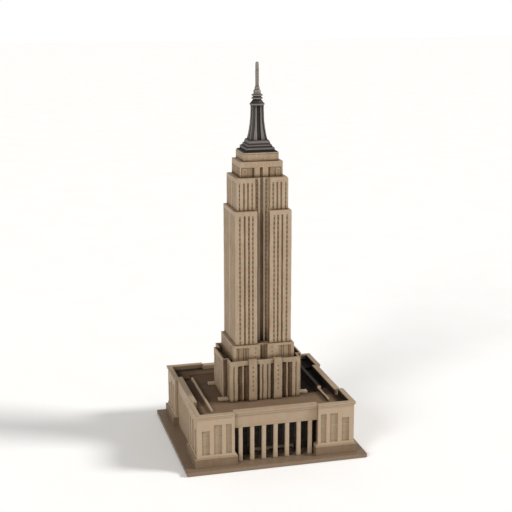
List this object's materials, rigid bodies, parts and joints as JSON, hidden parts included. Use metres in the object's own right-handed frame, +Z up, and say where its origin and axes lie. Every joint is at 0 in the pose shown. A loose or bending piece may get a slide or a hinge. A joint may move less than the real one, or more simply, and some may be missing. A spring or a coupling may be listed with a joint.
{
  "type": "miniature landmark model",
  "caption": "Desk-top souvenir of a stepped skyscraper: fluted tower blocks on a colonnaded podium and base plate, topped by a flared pewter mast with an antenna.",
  "frame": {"origin": "middle of the base, on the surface that the rubber feet stand on", "axes": "+Z up the tower, +X to the right along the front, and the colonnade faces -Y"},
  "size_m": [0.1444, 0.133, 0.3055],
  "materials": {
    "tan_casting": "tan paint with a brown wash in the recesses, satin",
    "brown_casting": "brown paint, satin",
    "porch_casting": "dark brown wash, matt",
    "black_enamel": "black enamel, semi-gloss",
    "pewter": "dark pewter, dry-brushed on its edges",
    "antenna_metal": "dull grey metal, slightly worn",
    "steel": "zinc-plated steel",
    "rubber": "matt black"
  },
  "bodies": {
    "root": {"front_left_pavilion": "tan_casting", "front_right_pavilion": "tan_casting", "rear_left_pavilion": "tan_casting", "rear_right_pavilion": "tan_casting", "left_wing_wall": "tan_casting", "right_wing_wall": "tan_casting", "rear_wing_wall": "tan_casting", "portico_entablature": "tan_casting", "roof_ridge_left": "tan_casting", "roof_ridge_right": "tan_casting", "tower_base_block": "tan_casting", "tower_second_block": "tan_casting", "tower_shaft": "tan_casting", "tower_upper_block": "tan_casting", "crown_block": "tan_casting", "cap_block": "tan_casting", "portico_column_1": "tan_casting", "portico_column_2": "tan_casting", "portico_column_3": "tan_casting", "portico_column_4": "tan_casting", "portico_column_5": "tan_casting", "portico_column_6": "tan_casting", "portico_column_7": "tan_casting", "roof_stub_1": "tan_casting", "roof_stub_2": "tan_casting", "roof_stub_3": "tan_casting", "roof_stub_4": "tan_casting", "base_plate": "brown_casting", "roof_deck": "brown_casting", "portico_back_wall": "porch_casting", "portico_canopy": "porch_casting", "portico_steps": "porch_casting", "mast_base_slab": "black_enamel", "mast_pedestal": "pewter", "mast_body": "pewter", "mast_collar": "pewter", "antenna": "antenna_metal", "base_screws": "steel", "tie_rod": "steel", "tie_washer": "steel", "tie_nut": "steel", "rubber_feet": "rubber"}
  },
  "joints": []
}
